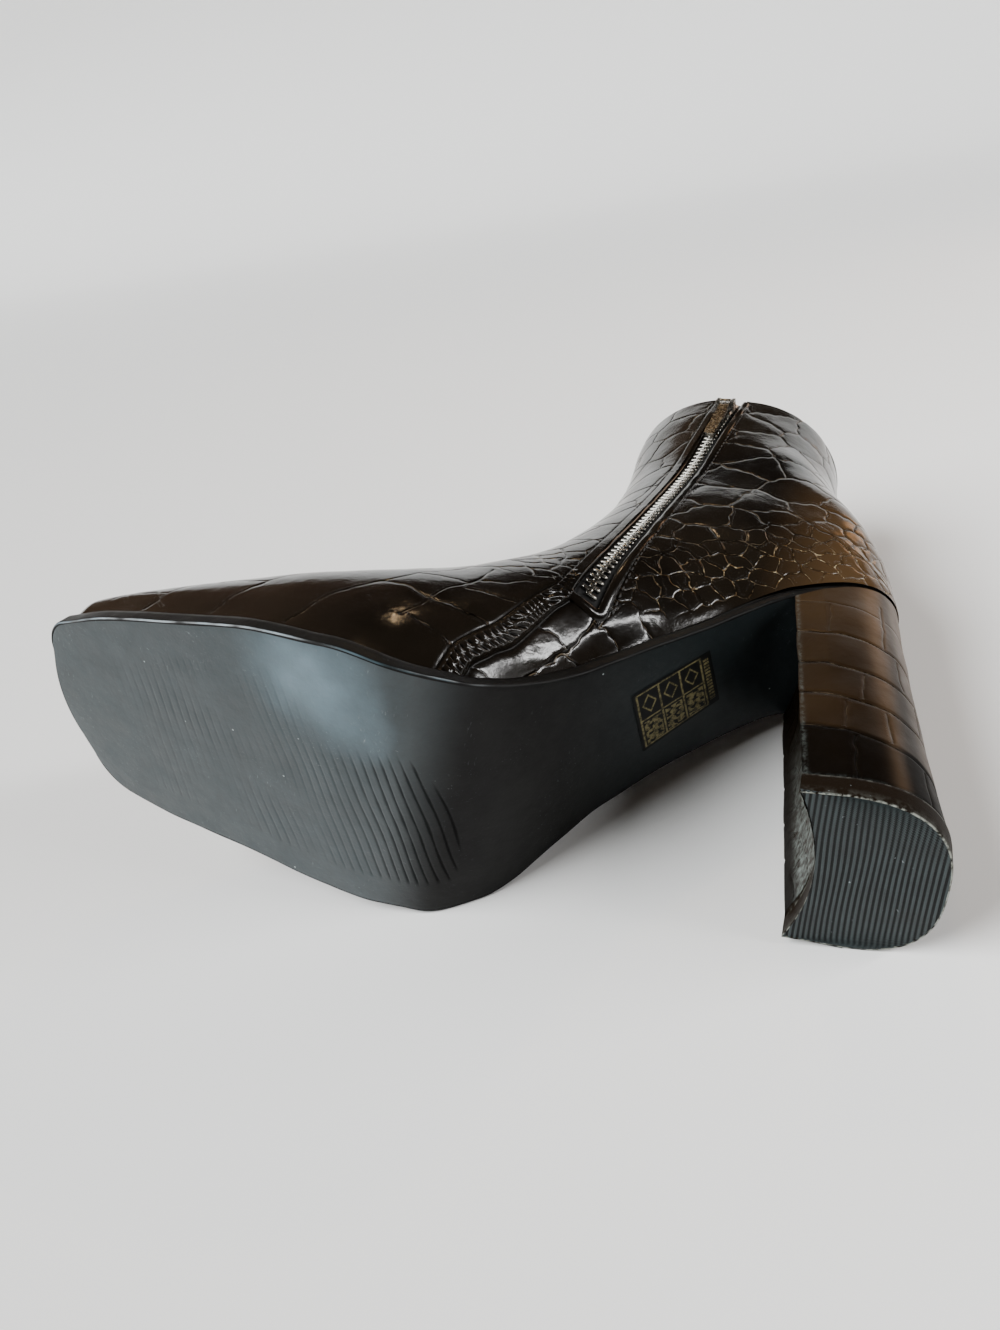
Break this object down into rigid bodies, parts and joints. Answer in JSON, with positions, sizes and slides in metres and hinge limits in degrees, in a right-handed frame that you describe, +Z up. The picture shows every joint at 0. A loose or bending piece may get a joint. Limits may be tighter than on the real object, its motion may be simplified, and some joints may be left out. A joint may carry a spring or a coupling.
{
  "type": "block heel boot",
  "caption": "Square-toed ankle boot for the right foot with a high flared block heel, an inner-side zip and a ribbed rubber sole, lying on its outer side.",
  "frame": {"origin": "middle of the bounding box at the surface that the boot lies on", "axes": "+Z up from that surface, towards the inner side of the foot; +X from the toe towards the heel; +Y from the sole towards the collar"},
  "size_m": [0.228, 0.2082, 0.0886],
  "materials": {
    "black_rubber": "satin moulded rubber",
    "insole_sock": "dull lining on board",
    "heel_cover_leather": "glossy embossed crocodile pattern",
    "lift_rubber": "matt ribbed rubber",
    "crocodile_leather": "glossy embossed crocodile pattern",
    "zip_tape": "woven tape with closed metal teeth",
    "zip_metal": "bright nickel"
  },
  "bodies": {
    "boot": {"outsole": "black_rubber", "insole": "insole_sock", "heel_block": "heel_cover_leather", "top_lift": "lift_rubber", "upper": "crocodile_leather", "zip_chain": "zip_tape", "zip_slider": "zip_metal"},
    "zip_pull": {"zip_pull": "zip_metal"}
  },
  "joints": [
    {"name": "zip_pull_hinge", "type": "hinge", "parent": "boot", "child": "zip_pull", "pos_m": [0.03894, 0.08918, 0.07022], "axis": [-0.9888, 0.105, 0.1057], "range_deg": [0, 160]}
  ]
}
